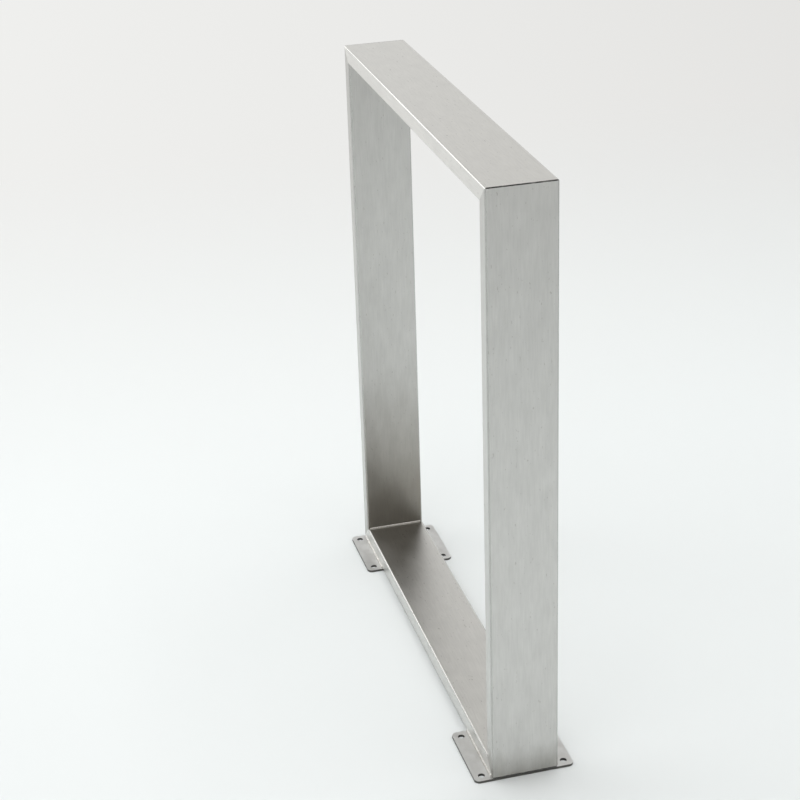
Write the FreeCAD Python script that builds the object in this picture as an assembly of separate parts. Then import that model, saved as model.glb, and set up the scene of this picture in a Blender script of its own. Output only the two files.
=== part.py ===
import FreeCAD, Part

import math
import os

# A furniture leg: an upright, closed rectangular frame of flat tube, mitred and
# welded at its four corners, standing on two drilled fixing plates.
# +X runs along the frame from the rear post to the front post, +Y across the
# tube, +Z up. The origin is on the floor, under the middle of the frame.

# Overall size of the leg, outside to outside
frame_span = 600.0
leg_height = 720.0

# Flat tube of the frame: all four members are cut from it
tube_width = 80.0
tube_depth = 20.0
tube_wall = 1.5
tube_edge_radius = 2.5
least_bore_radius = 0.4

# Weld metal in the bevelled outer edge of each mitre, ground to a soft edge
outer_weld_leg = 1.2
ground_edge_radius = 0.6

# Fillet bead across each inner corner, with a slightly domed face
inner_weld_leg = 2.0
inner_weld_crown = 0.25

# Fixing plates, one under each end of the bottom rail
plate_length = 100.0
plate_thickness = 3.0
plate_tab = 20.0
plate_corner_radius = 6.0

# Screw holes: one in each corner of a plate's two tabs
hole_diameter = 8.0
hole_to_plate_end = 10.0
hole_to_tube_side = 10.0

# Bead along each side of the bottom rail, on top of a plate
plate_weld_height = 3.2
plate_weld_toe = 1.6
plate_weld_root = 1.2
plate_weld_crown = 0.2
plate_weld_end_gap = 3.0


def point(x, y, z):
    return FreeCAD.Vector(x, y, z)


def rounded_rectangle(size_x, size_y, radius):
    """Face in the XY plane, centred on the origin, with four equal corner arcs."""
    half_x = size_x / 2
    half_y = size_y / 2
    inset = radius * (1 - math.sqrt(0.5))
    edges = []
    for turn in range(4):
        along = half_x if turn % 2 == 0 else half_y
        across = half_y if turn % 2 == 0 else half_x
        side_start = point(radius - along, -across, 0)
        side_end = point(along - radius, -across, 0)
        arc_middle = point(along - inset, inset - across, 0)
        arc_end = point(along, radius - across, 0)
        pieces = [
            Part.makeLine(side_start, side_end),
            Part.Arc(side_end, arc_middle, arc_end).toShape(),
        ]
        for piece in pieces:
            piece.rotate(point(0, 0, 0), point(0, 0, 1), 90 * turn)
            edges.append(piece)
    return Part.Face(Part.Wire(edges))


def solid_bar(length):
    """The tube's outer form, standing on the origin with its length along Z."""
    profile = rounded_rectangle(tube_depth, tube_width, tube_edge_radius)
    return profile.extrude(point(0, 0, length))


def hollow_bar(length):
    """The tube itself: the outer form with its bore taken out."""
    bore_radius = max(tube_edge_radius - tube_wall, least_bore_radius)
    bore = rounded_rectangle(tube_depth - 2 * tube_wall, tube_width - 2 * tube_wall, bore_radius)
    return solid_bar(length).cut(bore.extrude(point(0, 0, length)))


def prism(outline, width):
    """Extrudes an outline of XZ points and arcs across Y, centred on Y = 0.

    Each entry of the outline is an (x, z) corner, or three (x, z) points of an arc."""
    edges = []
    last = outline[-1][-1] if len(outline[-1]) == 3 else outline[-1]
    for entry in outline:
        start = entry[0] if len(entry) == 3 else entry
        if start != last:
            edges.append(Part.makeLine(point(last[0], 0, last[1]), point(start[0], 0, start[1])))
        if len(entry) == 3:
            arc_points = [point(x, 0, z) for x, z in entry]
            edges.append(Part.Arc(*arc_points).toShape())
            last = entry[2]
        else:
            last = entry
    face = Part.Face(Part.Wire(edges))
    face.translate(point(0, -width / 2, 0))
    return face.extrude(point(0, width, 0))


# The loop that the frame follows: outer and inner rectangle in the XZ plane
frame_bottom = plate_thickness
frame_height = leg_height - frame_bottom
outer_x = frame_span / 2
inner_x = outer_x - tube_depth
outer_z = {"bottom": frame_bottom, "top": leg_height}
inner_z = {"bottom": frame_bottom + tube_depth, "top": leg_height - tube_depth}
side_of = {"rear": -1, "front": 1}
way_of = {"bottom": -1, "top": 1}
corners = [(level, end) for level in ("bottom", "top") for end in ("rear", "front")]


def rail(bar_maker, level):
    """A level member with both ends cut to the mitre planes."""
    bar = bar_maker(frame_span)
    bar.rotate(point(0, 0, 0), point(0, 1, 0), 90)
    bar.translate(point(-outer_x, 0, (outer_z[level] + inner_z[level]) / 2))
    mitre = [
        (-outer_x, outer_z[level]),
        (outer_x, outer_z[level]),
        (inner_x, inner_z[level]),
        (-inner_x, inner_z[level]),
    ]
    return bar.common(prism(mitre, tube_width))


def post(bar_maker, end):
    """An upright member with both ends cut to the mitre planes."""
    side = side_of[end]
    bar = bar_maker(frame_height)
    bar.translate(point(side * (outer_x + inner_x) / 2, 0, frame_bottom))
    mitre = [
        (side * outer_x, outer_z["bottom"]),
        (side * outer_x, outer_z["top"]),
        (side * inner_x, inner_z["top"]),
        (side * inner_x, inner_z["bottom"]),
    ]
    return bar.common(prism(mitre, tube_width))


def weld_bevel(level, end):
    """The wedge that is bevelled off a mitre's outer edge, with its ground edge."""
    side = side_of[end]
    way = way_of[level]
    corner_x = side * outer_x
    corner_z = outer_z[level]
    arc_inset = ground_edge_radius * (1 - math.sqrt(0.5))
    ground_edge = (
        (corner_x - side * ground_edge_radius, corner_z),
        (corner_x - side * arc_inset, corner_z - way * arc_inset),
        (corner_x, corner_z - way * ground_edge_radius),
    )
    wedge = [
        (corner_x - side * outer_weld_leg, corner_z),
        ground_edge,
        (corner_x, corner_z - way * outer_weld_leg),
    ]
    return prism(wedge, tube_width)


def bevelled_off(level, end):
    """The whole corner triangle that the two tubes lose to the bevel."""
    corner_x = side_of[end] * outer_x
    corner_z = outer_z[level]
    triangle = [
        (corner_x - side_of[end] * outer_weld_leg, corner_z),
        (corner_x, corner_z),
        (corner_x, corner_z - way_of[level] * outer_weld_leg),
    ]
    return prism(triangle, tube_width)


def outer_weld(level, end):
    """Weld metal in the bevel, following the tubes' rounded long edges."""
    envelope = rail(solid_bar, level).fuse(post(solid_bar, end))
    return weld_bevel(level, end).common(envelope)


def inner_weld(level, end):
    """Fillet bead across the flat width of one inner corner."""
    side = side_of[end]
    way = way_of[level]
    corner_x = side * inner_x
    corner_z = inner_z[level]
    middle = inner_weld_leg / 2 + inner_weld_crown * math.sqrt(0.5)
    domed_face = (
        (corner_x - side * inner_weld_leg, corner_z),
        (corner_x - side * middle, corner_z - way * middle),
        (corner_x, corner_z - way * inner_weld_leg),
    )
    return prism([(corner_x, corner_z), domed_face], tube_width - 2 * tube_edge_radius)


def plate(end):
    """Flat plate, flush with the post's outer face, with a hole by each corner."""
    width = tube_width + 2 * plate_tab
    middle_x = side_of[end] * (outer_x - plate_length / 2)
    body = rounded_rectangle(plate_length, width, plate_corner_radius)
    body = body.extrude(point(0, 0, plate_thickness))
    hole_x = plate_length / 2 - hole_to_plate_end
    hole_y = tube_width / 2 + hole_to_tube_side
    for x in (-hole_x, hole_x):
        for y in (-hole_y, hole_y):
            body = body.cut(Part.makeCylinder(hole_diameter / 2, plate_thickness, point(x, y, 0)))
    body.translate(point(middle_x, 0, 0))
    return body


def plate_weld(end, hand):
    """Bead in the groove between the bottom rail's rounded edge and the plate."""
    side_y = hand * tube_width / 2
    toe = point(0, side_y + hand * plate_weld_toe, plate_thickness)
    top = point(0, side_y, plate_thickness + plate_weld_height)
    chord = top - toe
    outward = point(0, hand * chord.z, -hand * chord.y).normalize()
    crown = (toe + top) * 0.5 + outward * plate_weld_crown
    root_low = point(0, side_y - hand * plate_weld_root, plate_thickness)
    root_high = point(0, side_y - hand * plate_weld_root, plate_thickness + plate_weld_height)
    section = Part.Wire(
        [
            Part.Arc(toe, crown, top).toShape(),
            Part.makeLine(top, root_high),
            Part.makeLine(root_high, root_low),
            Part.makeLine(root_low, toe),
        ]
    )
    bead_length = plate_length - plate_weld_end_gap
    bead = Part.Face(section).extrude(point(bead_length, 0, 0))
    plate_start = outer_x - plate_length
    start = plate_start if side_of[end] > 0 else -plate_start - bead_length
    bead.translate(point(start, 0, 0))
    return bead.cut(rail(solid_bar, "bottom")).cut(post(solid_bar, end))


# The frame's four tubes, each bevelled at its two outer edges
members = {
    "top_rail": rail(hollow_bar, "top"),
    "bottom_rail": rail(hollow_bar, "bottom"),
    "front_post": post(hollow_bar, "front"),
    "rear_post": post(hollow_bar, "rear"),
}
parts = {}
for name, member in members.items():
    for level, end in corners:
        member = member.cut(bevelled_off(level, end))
    parts[name] = member

# The welds at the frame's corners
for level, end in corners:
    parts[f"outer_weld_{level}_{end}"] = outer_weld(level, end)
    parts[f"inner_weld_{level}_{end}"] = inner_weld(level, end)

# The fixing plates and the beads that hold the bottom rail to them
for end in side_of:
    parts[f"{end}_plate"] = plate(end)
    parts[f"plate_weld_{end}_left"] = plate_weld(end, -1)
    parts[f"plate_weld_{end}_right"] = plate_weld(end, 1)

os.makedirs("parts", exist_ok=True)
for name, shape in parts.items():
    shape.exportStep(f"parts/{name}.step")
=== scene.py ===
import math
import random

import bmesh
import bpy
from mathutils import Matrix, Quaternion, Vector


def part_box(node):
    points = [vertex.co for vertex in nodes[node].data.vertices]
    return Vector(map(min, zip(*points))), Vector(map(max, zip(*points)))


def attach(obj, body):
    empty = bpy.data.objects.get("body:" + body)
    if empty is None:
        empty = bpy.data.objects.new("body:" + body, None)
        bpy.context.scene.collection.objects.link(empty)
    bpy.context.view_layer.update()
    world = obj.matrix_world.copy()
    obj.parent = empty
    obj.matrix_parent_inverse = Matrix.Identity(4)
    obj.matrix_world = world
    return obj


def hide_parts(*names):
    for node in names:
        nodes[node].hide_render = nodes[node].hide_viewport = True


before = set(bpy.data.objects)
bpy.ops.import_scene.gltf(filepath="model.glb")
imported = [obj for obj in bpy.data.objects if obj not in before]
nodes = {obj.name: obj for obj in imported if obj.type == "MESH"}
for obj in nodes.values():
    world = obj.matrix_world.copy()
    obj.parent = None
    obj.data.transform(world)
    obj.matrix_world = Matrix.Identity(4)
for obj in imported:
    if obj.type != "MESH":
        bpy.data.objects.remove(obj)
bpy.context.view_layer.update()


# Frame tubes
# Four members of 80 x 20 mm stainless flat tube, mitred at the corners and welded. A belt
# ground along each tube left fine straight scratches, broader streaks and a satin gloss.

RAIL_GRAIN_AXIS = "X"
POST_GRAIN_AXIS = "Z"
# The rails and posts share one steel, given as a lighter copy for the rails and a darker copy for
# the posts: painted light on the rails and painted shade on the posts, for how each catches the
# light along its grain.
RAIL_LIT_COLOUR = (0.750, 0.744, 0.722)
POST_SHADED_COLOUR = (0.625, 0.621, 0.603)
STEEL_SPECK = (0.50, 0.49, 0.47)
STEEL_ROUGHNESS = 0.33
STEEL_ANISOTROPY = 0.6
ROUNDED_EDGE_ROUGHNESS = 0.25
# Painted shade: the rounded edges' colour is scaled down by this gain, to dim the highlights they
# catch.
ROUNDED_EDGE_PAINTED_SHADE = 0.80
ROUNDED_TO_FLAT = (0.70, 0.98)
NOISE_SPREAD = (0.3, 0.7)
SCRATCH_PITCH = 0.0005
SCRATCH_LENGTH = 0.025
SCRATCH_SPREAD = (0.25, 0.75)
SCRATCH_ROUGHNESS = 0.03
SCRATCH_BUMP = 0.35
SCRATCH_DEPTH = 0.00002
STREAK_PITCH = 0.0018
STREAK_LENGTH = 0.022
STREAK_CONTRAST = 0.035
CLOUD_WIDTH = 0.016
CLOUD_LENGTH = 0.032
CLOUD_CONTRAST = 0.035
CLOUD_ROUGHNESS = 0.02
SPECK_PITCH = 0.0022
SPECK_LENGTH = 0.0050
SPECK_CUT = (0.71, 0.78)
# Painted shade: the post's inner face is darkened from the floor up to about 270 mm, for the
# shade and dark reflections in its corner over the bottom rail.
INNER_CORNER_PAINTED_SHADE = (0.56, 0.53, 0.49)
INNER_CORNER_SHADE_HEIGHTS = (0.075, 0.270)
# The posts' faces other than the inner one turn darker towards the foot, over about the lowest 42
# mm.
FOOT_TINT = (0.72, 0.71, 0.69)
FOOT_TINT_HEIGHTS = (0.004, 0.042)
TINT_WANDER = 0.008
INNER_FACE_DEPTH = 0.002


def node(tree, kind, **settings):
    """Adds one shader node and sets its properties by name."""
    added = tree.nodes.new(kind)
    for name, value in settings.items():
        setattr(added, name, value)
    return added


def new_finish(name, metallic=1.0):
    """An empty node material with its principled shader and its output."""
    finish = bpy.data.materials.new(name)
    finish.use_nodes = True
    tree = finish.node_tree
    tree.nodes.clear()
    shader = node(tree, "ShaderNodeBsdfPrincipled")
    shader.inputs["Metallic"].default_value = metallic
    output = node(tree, "ShaderNodeOutputMaterial")
    tree.links.new(shader.outputs["BSDF"], output.inputs["Surface"])
    return finish, tree, shader


def own_place(tree):
    """The place on the piece, in metres."""
    return node(tree, "ShaderNodeTexCoord").outputs["Object"]


def parted(tree, vector):
    """The X, Y and Z sockets of a vector socket."""
    split = node(tree, "ShaderNodeSeparateXYZ")
    tree.links.new(vector, split.inputs["Vector"])
    return split.outputs


def stretched_noise(tree, pitch, length, axis, detail=2.0):
    """Noise of the given pitch across the grain and the given length along it.

    It runs from 0 to 1, and most of its values lie within NOISE_SPREAD."""
    scale = [1 / pitch] * 3
    scale["XYZ".index(axis)] = 1 / length
    mapping = node(tree, "ShaderNodeMapping")
    mapping.inputs["Scale"].default_value = scale
    noise = node(tree, "ShaderNodeTexNoise")
    noise.inputs["Scale"].default_value = 1.0
    noise.inputs["Detail"].default_value = detail
    tree.links.new(own_place(tree), mapping.inputs["Vector"])
    tree.links.new(mapping.outputs["Vector"], noise.inputs["Vector"])
    return noise.outputs["Fac"]


def remapped(tree, value, span, first=0.0, last=1.0):
    """Turns from first to last while the value goes through the span, and stays there."""
    stretch = node(tree, "ShaderNodeMapRange")
    stretch.inputs["From Min"].default_value = span[0]
    stretch.inputs["From Max"].default_value = span[1]
    stretch.inputs["To Min"].default_value = first
    stretch.inputs["To Max"].default_value = last
    tree.links.new(value, stretch.inputs["Value"])
    return stretch.outputs["Result"]


def computed(tree, first, operation, second=0.0):
    """One value from two, each a socket or a number."""
    step = node(tree, "ShaderNodeMath", operation=operation)
    for place, value in enumerate((first, second)):
        if isinstance(value, (int, float)):
            step.inputs[place].default_value = value
        else:
            tree.links.new(value, step.inputs[place])
    return step.outputs["Value"]


def mixed_colour(tree, share, first, second):
    """The first colour turning into the second with the share. Each is a socket or RGB."""
    mix = node(tree, "ShaderNodeMix", data_type="RGBA")
    tree.links.new(share, mix.inputs["Factor"])
    for socket_name, colour in (("A", first), ("B", second)):
        sockets = [s for s in mix.inputs if s.name == socket_name and s.type == "RGBA"]
        if isinstance(colour, tuple):
            sockets[0].default_value = (*colour, 1.0)
        else:
            tree.links.new(colour, sockets[0])
    return [s for s in mix.outputs if s.type == "RGBA"][0]


def scaled_colour(tree, colour, gain):
    """The colour made lighter or darker by a gain."""
    scale = node(tree, "ShaderNodeVectorMath", operation="SCALE")
    tree.links.new(colour, scale.inputs["Vector"])
    tree.links.new(gain, scale.inputs["Scale"])
    return scale.outputs["Vector"]


def multiplied_colour(tree, tone, tint, share):
    """The tone, turned darker towards its product with the tint by the share."""
    film = mixed_colour(tree, share, (1.0, 1.0, 1.0), tint)
    product = node(tree, "ShaderNodeVectorMath", operation="MULTIPLY")
    tree.links.new(tone, product.inputs[0])
    tree.links.new(film, product.inputs[1])
    return product.outputs["Vector"]


def on_flat(tree, on_edge, on_face):
    """One value on the tube's rounded edges, turning into another on its flat faces."""
    normal = node(tree, "ShaderNodeNewGeometry").outputs["Normal"]
    squares = node(tree, "ShaderNodeVectorMath", operation="MULTIPLY")
    tree.links.new(normal, squares.inputs[0])
    tree.links.new(normal, squares.inputs[1])
    flatness = node(tree, "ShaderNodeVectorMath", operation="DOT_PRODUCT")
    tree.links.new(squares.outputs["Vector"], flatness.inputs[0])
    tree.links.new(squares.outputs["Vector"], flatness.inputs[1])
    return remapped(tree, flatness.outputs["Value"], ROUNDED_TO_FLAT, on_edge, on_face)


def relief(tree, shader, height, strength, depth):
    """Fine bumps on the finish."""
    bump = node(tree, "ShaderNodeBump")
    bump.inputs["Strength"].default_value = strength
    bump.inputs["Distance"].default_value = depth
    tree.links.new(height, bump.inputs["Height"])
    tree.links.new(bump.outputs["Normal"], shader.inputs["Normal"])


def with_corner_shade_and_dark_foot(tree, tone, clouds):
    """Painted shade low on a post's inner face, towards its corner with the bottom rail, and a
    darker foot on its other faces.
    """
    place = parted(tree, own_place(tree))
    from_middle = computed(tree, place["X"], "ABSOLUTE")
    inner_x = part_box("front_post")[0][0]
    inner_share = remapped(tree, from_middle, (inner_x, inner_x + INNER_FACE_DEPTH), 1.0, 0.0)
    other_share = computed(tree, 1.0, "SUBTRACT", inner_share)
    wander = remapped(tree, clouds, NOISE_SPREAD, -TINT_WANDER, TINT_WANDER)
    height = computed(tree, place["Z"], "ADD", wander)
    corner_shade = remapped(tree, height, INNER_CORNER_SHADE_HEIGHTS, 1.0, 0.0)
    foot = remapped(tree, height, FOOT_TINT_HEIGHTS, 1.0, 0.0)
    # Painted shade low on the inner face.
    tone = multiplied_colour(tree, tone, INNER_CORNER_PAINTED_SHADE, computed(tree, corner_shade, "MULTIPLY", inner_share))
    return multiplied_colour(tree, tone, FOOT_TINT, computed(tree, foot, "MULTIPLY", other_share))


def brushed_steel(name, axis, colour, corner_shade_and_dark_foot=False):
    """Satin steel with scratches, streaks and specks along one axis."""
    finish, tree, shader = new_finish(name)
    scratches = stretched_noise(tree, SCRATCH_PITCH, SCRATCH_LENGTH, axis)
    streaks = stretched_noise(tree, STREAK_PITCH, STREAK_LENGTH, axis, detail=3.0)
    clouds = stretched_noise(tree, CLOUD_WIDTH, CLOUD_LENGTH, axis, detail=3.0)
    specks = stretched_noise(tree, SPECK_PITCH, SPECK_LENGTH, axis, detail=1.0)
    tone = mixed_colour(tree, remapped(tree, specks, SPECK_CUT), colour, STEEL_SPECK)
    # Painted shade: darker colour on the rounded edges dims their highlights.
    gain = on_flat(tree, ROUNDED_EDGE_PAINTED_SHADE, 1.0)
    for marks, contrast in ((streaks, STREAK_CONTRAST), (clouds, CLOUD_CONTRAST)):
        marks_gain = remapped(tree, marks, NOISE_SPREAD, 1 - contrast, 1 + contrast)
        gain = computed(tree, gain, "MULTIPLY", marks_gain)
    tone = scaled_colour(tree, tone, gain)
    # The posts carry the painted shade low on their inner faces and a darker foot.
    if corner_shade_and_dark_foot:
        tone = with_corner_shade_and_dark_foot(tree, tone, clouds)
    tree.links.new(tone, shader.inputs["Base Color"])
    rough = on_flat(tree, ROUNDED_EDGE_ROUGHNESS, STEEL_ROUGHNESS)
    for marks, spread, change in (
        (scratches, SCRATCH_SPREAD, SCRATCH_ROUGHNESS),
        (clouds, NOISE_SPREAD, CLOUD_ROUGHNESS),
    ):
        rough = computed(tree, rough, "ADD", remapped(tree, marks, spread, -change, change))
    tree.links.new(rough, shader.inputs["Roughness"])
    shader.inputs["Anisotropic"].default_value = STEEL_ANISOTROPY
    tangent = node(tree, "ShaderNodeTangent", direction_type="RADIAL", axis=axis)
    tree.links.new(tangent.outputs["Tangent"], shader.inputs["Tangent"])
    relief(tree, shader, scratches, SCRATCH_BUMP, SCRATCH_DEPTH)
    return finish


def dress(node_name, finish):
    """Gives a carried-over CAD piece its finish."""
    for slot in nodes[node_name].material_slots:
        slot.material = finish


# The rails get the lighter copy of the steel colour (painted light), the posts the darker copy
# (painted shade).
rail_steel = brushed_steel("brushed_steel_rails", RAIL_GRAIN_AXIS, RAIL_LIT_COLOUR)
post_steel = brushed_steel("brushed_steel_posts", POST_GRAIN_AXIS, POST_SHADED_COLOUR, corner_shade_and_dark_foot=True)
for name in ("top_rail", "bottom_rail"):
    dress(name, rail_steel)
for name in ("front_post", "rear_post"):
    dress(name, post_steel)


# Inner corner welds
# A fillet bead of filler metal lies across each inner corner of the frame, laid by hand
# in small overlapping drops and left as it cooled, so it is rippled and bright.

INNER_BEAD_LEG = 0.0017
INNER_BEAD_LENGTH = 0.075
INNER_BEAD_CROWN = 0.00035
INNER_BEAD_RIPPLE = {"pitch": 0.0013, "height": 0.00012, "wander": 0.06}
INNER_BEAD_COLOUR = (0.88, 0.86, 0.82)
INNER_BEAD_SKIN = (0.68, 0.65, 0.61)
INNER_BEAD_ROUGHNESS = 0.30
BEAD_SINK = 0.0001
BEAD_END_SIZE = 0.15
SWELLS_PER_BEAD = (2.3, 5.1, 11.0)
RIPPLES_PER_BEAT = (5.3, 9.1)
BEAT_SHIFT = 0.35
DROP_BOW = 0.55
DROP_STEEPNESS = 0.5
DROP_MIDDLE = 0.6
RINGS_PER_RIPPLE = 10
FACE_POINTS = 9
SKIN_SPOT_SIZE = 0.0025
SKIN_SPOT_CUT = (0.35, 0.65)
SKIN_ROUGHER = 0.08
BARE_SMOOTHER = 0.04
BEAD_GRAIN_SIZE = 0.0004
BEAD_GRAIN_BUMP = 0.4
BEAD_GRAIN_DEPTH = 0.00003


def slow_wave(rng, lengths):
    """A smooth random curve of about -1 to 1: the mean of a sine of each given length."""
    waves = [(length, rng.uniform(0, 2 * math.pi)) for length in lengths]
    return lambda place: sum(math.sin(2 * math.pi * place / w + p) for w, p in waves) / len(waves)


def closed_sweep(name, rings):
    """A closed mesh through rings of equally many points, with a flat cap at each end."""
    mesh = bpy.data.meshes.new(name)
    shape = bmesh.new()
    made = [[shape.verts.new(point) for point in ring] for ring in rings]
    for ring, following in zip(made, made[1:]):
        for place in range(len(ring)):
            after = (place + 1) % len(ring)
            shape.faces.new((ring[place], ring[after], following[after], following[place]))
    shape.faces.new(reversed(made[0]))
    shape.faces.new(made[-1])
    bmesh.ops.recalc_face_normals(shape, faces=shape.faces)
    shape.to_mesh(mesh)
    shape.free()
    piece = bpy.data.objects.new(name, mesh)
    bpy.context.collection.objects.link(piece)
    return piece


def weld_bead(name, start, end, walls, legs, crown, seed, pitch, height, wander):
    """A rippled bead from start to end, lying between two walls that meet on that line.

    walls are the two directions that lead away from the line along the walls, legs how
    far the bead reaches along each. crown is how far its face bulges, pitch and height
    are those of its ripples, and wander is the share by which its size comes and goes."""
    rng = random.Random(seed)
    length = (end - start).length
    along = (end - start) / length
    outward = (walls[0] + walls[1]).normalized()
    swell = slow_wave(rng, [length / count for count in SWELLS_PER_BEAD])
    beat = slow_wave(rng, [pitch * count for count in RIPPLES_PER_BEAT])
    ring_count = round(length / pitch * RINGS_PER_RIPPLE)
    rings = []
    for number in range(ring_count + 1):
        distance = length * number / ring_count
        to_end = min(distance, length - distance)
        taper = math.sin(math.pi / 2 * min(1.0, BEAD_END_SIZE + to_end / legs[0]))
        size = taper * (1 + wander * swell(distance))
        root = start + along * distance
        ring = [root - outward * BEAD_SINK]
        toes = [root + wall * leg * size - outward * BEAD_SINK for wall, leg in zip(walls, legs)]
        for place in range(FACE_POINTS):
            share = place / (FACE_POINTS - 1)
            bow = 4 * share * (1 - share)
            phase = distance / pitch + BEAT_SHIFT * beat(distance) - DROP_BOW * bow
            ripple = (1 - (phase % 1.0)) ** DROP_STEEPNESS - DROP_MIDDLE
            lift = crown * bow + height * ripple * math.sin(math.pi * share)
            ring.append(toes[0].lerp(toes[1], share) + outward * lift * size)
        rings.append(ring)
    return closed_sweep(name, rings)


def bead_metal(name, bare, skin, roughness):
    """Bright filler metal with a darker, rougher skin of oxide in spots."""
    finish, tree, shader = new_finish(name)
    spots = stretched_noise(tree, SKIN_SPOT_SIZE, SKIN_SPOT_SIZE, "Y", detail=3.0)
    grains = stretched_noise(tree, BEAD_GRAIN_SIZE, BEAD_GRAIN_SIZE, "Y")
    tone = mixed_colour(tree, remapped(tree, spots, SKIN_SPOT_CUT), skin, bare)
    tree.links.new(tone, shader.inputs["Base Color"])
    roughest = roughness + SKIN_ROUGHER
    smoothest = roughness - BARE_SMOOTHER
    rough = remapped(tree, spots, NOISE_SPREAD, roughest, smoothest)
    tree.links.new(rough, shader.inputs["Roughness"])
    relief(tree, shader, grains, BEAD_GRAIN_BUMP, BEAD_GRAIN_DEPTH)
    return finish


inner_bead_metal = bead_metal(
    "inner_bead_metal", INNER_BEAD_COLOUR, INNER_BEAD_SKIN, INNER_BEAD_ROUGHNESS
)
rail_box = {level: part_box(f"{level}_rail") for level in ("bottom", "top")}
post_box = {end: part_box(f"{end}_post") for end in ("rear", "front")}
inner_x = {"rear": post_box["rear"][1][0], "front": post_box["front"][0][0]}
inner_z = {"bottom": rail_box["bottom"][1][2], "top": rail_box["top"][0][2]}
into_window = {"rear": 1, "front": -1, "bottom": 1, "top": -1}
frame_corners = [(level, end) for level in inner_z for end in inner_x]
for number, (level, end) in enumerate(frame_corners):
    half = Vector((0, INNER_BEAD_LENGTH / 2, 0))
    corner = Vector((inner_x[end], 0, inner_z[level]))
    bead_piece = weld_bead(
        f"inner_bead_{level}_{end}",
        corner - half,
        corner + half,
        (Vector((into_window[end], 0, 0)), Vector((0, 0, into_window[level]))),
        (INNER_BEAD_LEG, INNER_BEAD_LEG),
        INNER_BEAD_CROWN,
        seed=number,
        **INNER_BEAD_RIPPLE,
    )
    bead_piece.data.shade_smooth()
    bead_piece.data.materials.append(inner_bead_metal)
    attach(bead_piece, "root")
    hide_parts(f"inner_weld_{level}_{end}")


# Outer corner welds
# The bevelled outer edge of each mitre is filled with weld metal and ground almost flush.
# The wheel left it dull and dark, with a few brighter spots, so it shows as a thin line.

GROUND_WELD_COLOUR = (0.075, 0.073, 0.070)
GROUND_WELD_PALE = (0.24, 0.235, 0.225)
BLOTCH_WIDTH = 0.0012
BLOTCH_LENGTH = 0.0050
BLOTCH_CUT = (0.50, 0.62)
GROUND_DULLEST = 0.50
GROUND_SMOOTHEST = 0.38

ground_weld_metal, tree, shader = new_finish("ground_weld_metal")
blotches = stretched_noise(tree, BLOTCH_WIDTH, BLOTCH_LENGTH, "Y", detail=3.0)
blotch_share = remapped(tree, blotches, BLOTCH_CUT)
tone = mixed_colour(tree, blotch_share, GROUND_WELD_COLOUR, GROUND_WELD_PALE)
tree.links.new(tone, shader.inputs["Base Color"])
rough = remapped(tree, blotches, NOISE_SPREAD, GROUND_DULLEST, GROUND_SMOOTHEST)
tree.links.new(rough, shader.inputs["Roughness"])
for level, end in frame_corners:
    dress(f"outer_weld_{level}_{end}", ground_weld_metal)


# Fixing plates
# Each end of the bottom rail stands on a plate of 3 mm stainless sheet with rounded
# corners and four screw holes. The sheet keeps its dull mill finish.

PLATE_COLOUR = (0.78, 0.785, 0.78)
PLATE_STAIN = (0.70, 0.70, 0.69)
STAIN_WIDTH = 0.012
STAIN_LENGTH = 0.018
STAIN_CUT = (0.35, 0.70)
PLATE_SMOOTHEST = 0.42
PLATE_DULLEST = 0.52
PIT_WIDTH = 0.0006
PIT_LENGTH = 0.0012
PIT_BUMP = 0.3
PIT_DEPTH = 0.00003
CUT_EDGE_COLOUR = (0.14, 0.138, 0.13)
CUT_TO_LEVEL = (0.2, 0.5)
# Painted shade: the bores of the screw holes are coloured nearly black, for the dark inside of
# each hole.
HOLE_BORE_PAINTED_SHADE = (0.10, 0.099, 0.095)
HOLE_INSET = 0.010
HOLE_REACH = 0.0045
HOLE_FADE = 1.1


def from_mirrored(tree, value, middle):
    """How far the value lies past the middle, or short of it, on either side of zero."""
    positive = computed(tree, value, "ABSOLUTE")
    return computed(tree, positive, "SUBTRACT", middle)


def hole_bore_shade_mask(tree):
    """Mask of the painted shade in the screw holes: 1 within a hole's reach of its centre and 0
    elsewhere, for all eight holes alike.
    """
    low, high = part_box("front_plate")
    plate_middle = (low[0] + high[0]) / 2
    hole_to_middle = (high[0] - low[0]) / 2 - HOLE_INSET
    place = parted(tree, own_place(tree))
    along = from_mirrored(tree, place["X"], plate_middle)
    along = from_mirrored(tree, along, hole_to_middle)
    across = from_mirrored(tree, place["Y"], high[1] - HOLE_INSET)
    along_square = computed(tree, along, "MULTIPLY", along)
    across_square = computed(tree, across, "MULTIPLY", across)
    square = computed(tree, along_square, "ADD", across_square)
    fade = (HOLE_REACH**2, (HOLE_REACH * HOLE_FADE) ** 2)
    return remapped(tree, square, fade, 1.0, 0.0)


plate_sheet, tree, shader = new_finish("plate_sheet")
stains = stretched_noise(tree, STAIN_WIDTH, STAIN_LENGTH, "X", detail=4.0)
pits = stretched_noise(tree, PIT_WIDTH, PIT_LENGTH, "X")
level_tone = mixed_colour(tree, remapped(tree, stains, STAIN_CUT), PLATE_COLOUR, PLATE_STAIN)
# The plate's cut edges are dark, and the hole bores darker still with painted shade.
cut_edge_and_bore_shade_tone = mixed_colour(tree, hole_bore_shade_mask(tree), CUT_EDGE_COLOUR, HOLE_BORE_PAINTED_SHADE)
upward = parted(tree, node(tree, "ShaderNodeNewGeometry").outputs["Normal"])["Z"]
levelness = computed(tree, upward, "MULTIPLY", upward)
tone = mixed_colour(tree, remapped(tree, levelness, CUT_TO_LEVEL), cut_edge_and_bore_shade_tone, level_tone)
tree.links.new(tone, shader.inputs["Base Color"])
rough = remapped(tree, stains, NOISE_SPREAD, PLATE_SMOOTHEST, PLATE_DULLEST)
tree.links.new(rough, shader.inputs["Roughness"])
relief(tree, shader, pits, PIT_BUMP, PIT_DEPTH)
for end in inner_x:
    dress(f"{end}_plate", plate_sheet)


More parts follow.
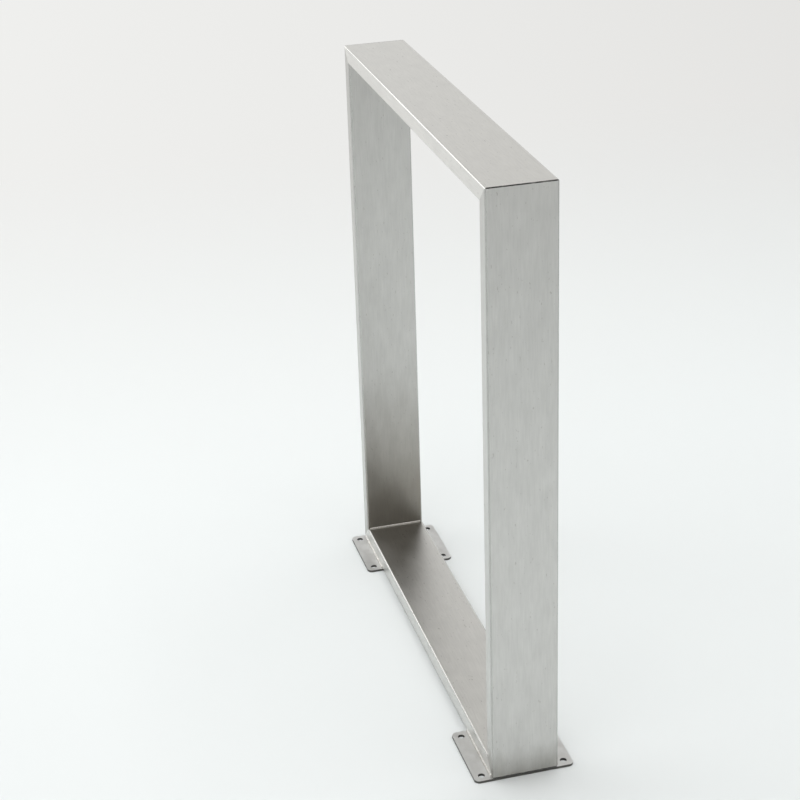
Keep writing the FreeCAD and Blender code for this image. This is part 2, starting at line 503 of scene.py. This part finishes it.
# Plate welds
# A bead along each long side of the bottom rail, on top of a plate, fills the groove
# under the tube's rounded edge. The beads at the front are neat, the rear ones uneven.

PLATE_BEAD_TOE = 0.0016
PLATE_BEAD_HEIGHT = 0.0030
PLATE_BEAD_CROWN = 0.00045
PLATE_BEAD_SET_IN = 0.0003
PLATE_BEAD_RIPPLE = {
    "front": {"pitch": 0.0015, "height": 0.00010, "wander": 0.04},
    "rear": {"pitch": 0.0045, "height": 0.00055, "wander": 0.20},
}
PLATE_BEAD_COLOUR = (0.86, 0.85, 0.82)
PLATE_BEAD_SKIN = (0.62, 0.60, 0.57)
PLATE_BEAD_ROUGHNESS = 0.18

plate_bead_metal = bead_metal(
    "plate_bead_metal", PLATE_BEAD_COLOUR, PLATE_BEAD_SKIN, PLATE_BEAD_ROUGHNESS
)
for end in inner_x:
    for hand, sign in (("left", -1), ("right", 1)):
        low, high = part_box(f"plate_weld_{end}_{hand}")
        side_y = rail_box["bottom"][0][1] if sign < 0 else rail_box["bottom"][1][1]
        line = Vector((0, side_y - sign * PLATE_BEAD_SET_IN, low[2]))
        bead_piece = weld_bead(
            f"plate_bead_{end}_{hand}",
            line + Vector((low[0], 0, 0)),
            line + Vector((high[0], 0, 0)),
            (Vector((0, sign, 0)), Vector((0, 0, 1))),
            (PLATE_BEAD_TOE + PLATE_BEAD_SET_IN, PLATE_BEAD_HEIGHT),
            PLATE_BEAD_CROWN,
            seed=f"{end} {hand}",
            **PLATE_BEAD_RIPPLE[end],
        )
        bead_piece.data.shade_smooth()
        bead_piece.data.materials.append(plate_bead_metal)
        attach(bead_piece, "root")
        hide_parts(f"plate_weld_{end}_{hand}")


# Floor and backdrop
# A matt pale sheet lies under the leg, bends up behind it and stands as a wall. The lamps light
# it near the leg; its far parts show pale tones of their own, with painted shade to the right and
# high up.

FLOOR_REACH = 14.0
WALL_PLACE = -3.2
WALL_BEND = 1.2
WALL_HEIGHT = 6.0
BEND_STEPS = 24
FLOOR_COLOUR = (0.76, 0.785, 0.785)
SHEET_ROUGHNESS = 0.9
SHEET_GLOSS = 0.2
WALL_COLOUR = (0.865, 0.865, 0.85)
LIT_FROM_X = (-2.1, -0.5)
FAR_OFF_REACH = (2.1, 3.6)
# Painted shade on the far sheet: darker towards the right and high up.
RIGHT_WALL_PAINTED_SHADE = (0.775, 0.77, 0.755)
RIGHT_WALL_Y = (-0.35, 1.9)
HIGH_WALL_PAINTED_SHADE = (0.70, 0.69, 0.665)
HIGH_WALL_Z = (1.9, 2.8)
BACKGROUND_COLOUR = (0.84, 0.84, 0.82)
HAZE_REACH = (5.0, 11.0)

profile = [(FLOOR_REACH, 0.0)]
for step in range(BEND_STEPS + 1):
    turn = math.pi / 2 * step / BEND_STEPS
    bend_x = WALL_PLACE + WALL_BEND * (1 - math.sin(turn))
    profile.append((bend_x, WALL_BEND * (1 - math.cos(turn))))
profile.append((WALL_PLACE, WALL_HEIGHT))
verts = [(x, y, z) for x, z in profile for y in (-FLOOR_REACH, FLOOR_REACH)]
faces = [(2 * i, 2 * i + 1, 2 * i + 3, 2 * i + 2) for i in range(len(profile) - 1)]
sweep_mesh = bpy.data.meshes.new("sweep")
sweep_mesh.from_pydata(verts, [], faces)
sweep_mesh.shade_smooth()
sweep = bpy.data.objects.new("sweep", sweep_mesh)
bpy.context.collection.objects.link(sweep)

pale_sheet, tree, shader = new_finish("pale_sheet", metallic=0.0)
shader.inputs["Roughness"].default_value = SHEET_ROUGHNESS
shader.inputs["Specular IOR Level"].default_value = SHEET_GLOSS
shader.inputs["Base Color"].default_value = (*FLOOR_COLOUR, 1.0)
place = own_place(tree)
place_xyz = parted(tree, place)
from_origin = node(tree, "ShaderNodeVectorMath", operation="LENGTH")
tree.links.new(place, from_origin.inputs[0])
reach = from_origin.outputs["Value"]
# Painted shade: the far sheet darkens towards the right and high up.
right_shade_share = remapped(tree, place_xyz["Y"], RIGHT_WALL_Y)
tone = mixed_colour(tree, right_shade_share, WALL_COLOUR, RIGHT_WALL_PAINTED_SHADE)
tone = mixed_colour(tree, remapped(tree, place_xyz["Z"], HIGH_WALL_Z), tone, HIGH_WALL_PAINTED_SHADE)
tone = mixed_colour(tree, remapped(tree, reach, HAZE_REACH), tone, BACKGROUND_COLOUR)
pale = node(tree, "ShaderNodeEmission")
tree.links.new(tone, pale.inputs["Color"])
rays = node(tree, "ShaderNodeLightPath").outputs
looked_at = computed(tree, rays["Is Camera Ray"], "MAXIMUM", rays["Is Glossy Ray"])
looked_at = computed(tree, looked_at, "MAXIMUM", rays["Is Transmission Ray"])
behind = remapped(tree, place_xyz["X"], LIT_FROM_X, 1.0, 0.0)
far_off = computed(tree, remapped(tree, reach, FAR_OFF_REACH), "MAXIMUM", behind)
lit_or_pale = node(tree, "ShaderNodeMixShader")
tree.links.new(computed(tree, looked_at, "MULTIPLY", far_off), lit_or_pale.inputs["Fac"])
tree.links.new(shader.outputs["BSDF"], lit_or_pale.inputs[1])
tree.links.new(pale.outputs["Emission"], lit_or_pale.inputs[2])
output = [n for n in tree.nodes if n.type == "OUTPUT_MATERIAL"][0]
tree.links.new(lit_or_pale.outputs["Shader"], output.inputs["Surface"])
sweep_mesh.materials.append(pale_sheet)


# Lamps and surroundings
# Soft square lamps hang over and beside the leg. What the steel mirrors is a plain room
# with a bright ceiling and one dim side, and a soft window on the left.

ROOM_COLOUR = (0.34, 0.335, 0.325)
CEILING_COLOUR = (0.95, 0.95, 0.94)
CEILING_RISE = (0.50, 0.85)
DIM_ROOM_COLOUR = (0.120, 0.112, 0.100)
DIM_WAY = (0.81, 0.43, 0.39)
DIM_LIKENESS = (0.74, 0.97)

studio = bpy.data.worlds.new("studio")
bpy.context.scene.world = studio
studio.use_nodes = True
tree = studio.node_tree
tree.nodes.clear()
way = node(tree, "ShaderNodeTexCoord").outputs["Generated"]
tone = mixed_colour(
    tree, remapped(tree, parted(tree, way)["Z"], CEILING_RISE), ROOM_COLOUR, CEILING_COLOUR
)
likeness = node(tree, "ShaderNodeVectorMath", operation="DOT_PRODUCT")
likeness.inputs[1].default_value = Vector(DIM_WAY).normalized()
tree.links.new(way, likeness.inputs[0])
dimness = remapped(tree, likeness.outputs["Value"], DIM_LIKENESS)
room = node(tree, "ShaderNodeBackground")
tree.links.new(mixed_colour(tree, dimness, tone, DIM_ROOM_COLOUR), room.inputs["Color"])
seen = node(tree, "ShaderNodeBackground")
seen.inputs["Color"].default_value = (*BACKGROUND_COLOUR, 1.0)
choice = node(tree, "ShaderNodeMixShader")
rays = node(tree, "ShaderNodeLightPath").outputs
tree.links.new(rays["Is Camera Ray"], choice.inputs["Fac"])
tree.links.new(room.outputs["Background"], choice.inputs[1])
tree.links.new(seen.outputs["Background"], choice.inputs[2])
output = node(tree, "ShaderNodeOutputWorld")
tree.links.new(choice.outputs["Shader"], output.inputs["Surface"])


def softbox(name, place, aim, size, radiance, mirrored=False):
    """A square lamp of the given side that looks at aim with an even brightness."""
    lamp = bpy.data.lights.new(name, "AREA")
    lamp.size = size
    lamp.energy = radiance * math.pi * size * size
    holder = bpy.data.objects.new(name, lamp)
    bpy.context.collection.objects.link(holder)
    holder.location = place
    holder.rotation_mode = "QUATERNION"
    holder.rotation_quaternion = (Vector(aim) - Vector(place)).to_track_quat("-Z", "Y")
    holder.visible_camera = False
    holder.visible_glossy = mirrored


softbox(
    "overhead_softbox",
    place=(0.1, -0.3, 2.8),
    aim=(0.1, -0.1, 0.0),
    size=3.1,
    radiance=1.5,
)
softbox(
    "background_softbox",
    place=(-2.0, 0.2, 3.0),
    aim=(-2.3, 0.1, 0.0),
    size=2.0,
    radiance=0.8,
)
softbox(
    "left_softbox",
    place=(-1.2, -3.2, 2.0),
    aim=(-0.5, -1.0, 0.0),
    size=3.1,
    radiance=1.0,
)
softbox(
    "left_window",
    place=(-2.4, -1.1, 1.3),
    aim=(0.2, 0.0, 0.5),
    size=1.0,
    radiance=1.2,
    mirrored=True,
)
softbox(
    "right_softbox",
    place=(-1.2, 2.7, 1.9),
    aim=(0.0, 0.0, 0.3),
    size=2.6,
    radiance=0.65,
)


# Camera
# It stands in front of the leg, a little to its left and above it, and looks back and
# down on it through a long lens. It is turned slightly on its own axis.

CAMERA_PLACE = (2.0146, -0.5714, 1.3341)
CAMERA_AZIMUTH = 75.64
CAMERA_ELEVATION = 23.42
CAMERA_ROLL = -1.89
CAMERA_LENS = 84.96
CAMERA_SHIFT_Y = -0.075
SENSOR_WIDTH = 36.0

lens = bpy.data.cameras.new("camera")
lens.lens = CAMERA_LENS
lens.sensor_width = SENSOR_WIDTH
lens.shift_y = CAMERA_SHIFT_Y
camera = bpy.data.objects.new("camera", lens)
bpy.context.collection.objects.link(camera)
azimuth = math.radians(CAMERA_AZIMUTH)
elevation = math.radians(CAMERA_ELEVATION)
backward = Vector(
    (
        math.sin(azimuth) * math.cos(elevation),
        -math.cos(azimuth) * math.cos(elevation),
        math.sin(elevation),
    )
)
camera.location = CAMERA_PLACE
camera.rotation_mode = "QUATERNION"
roll = Quaternion((0.0, 0.0, 1.0), math.radians(CAMERA_ROLL))
camera.rotation_quaternion = (-backward).to_track_quat("-Z", "Y") @ roll
bpy.context.scene.camera = camera
bpy.context.scene.view_settings.view_transform = "Standard"
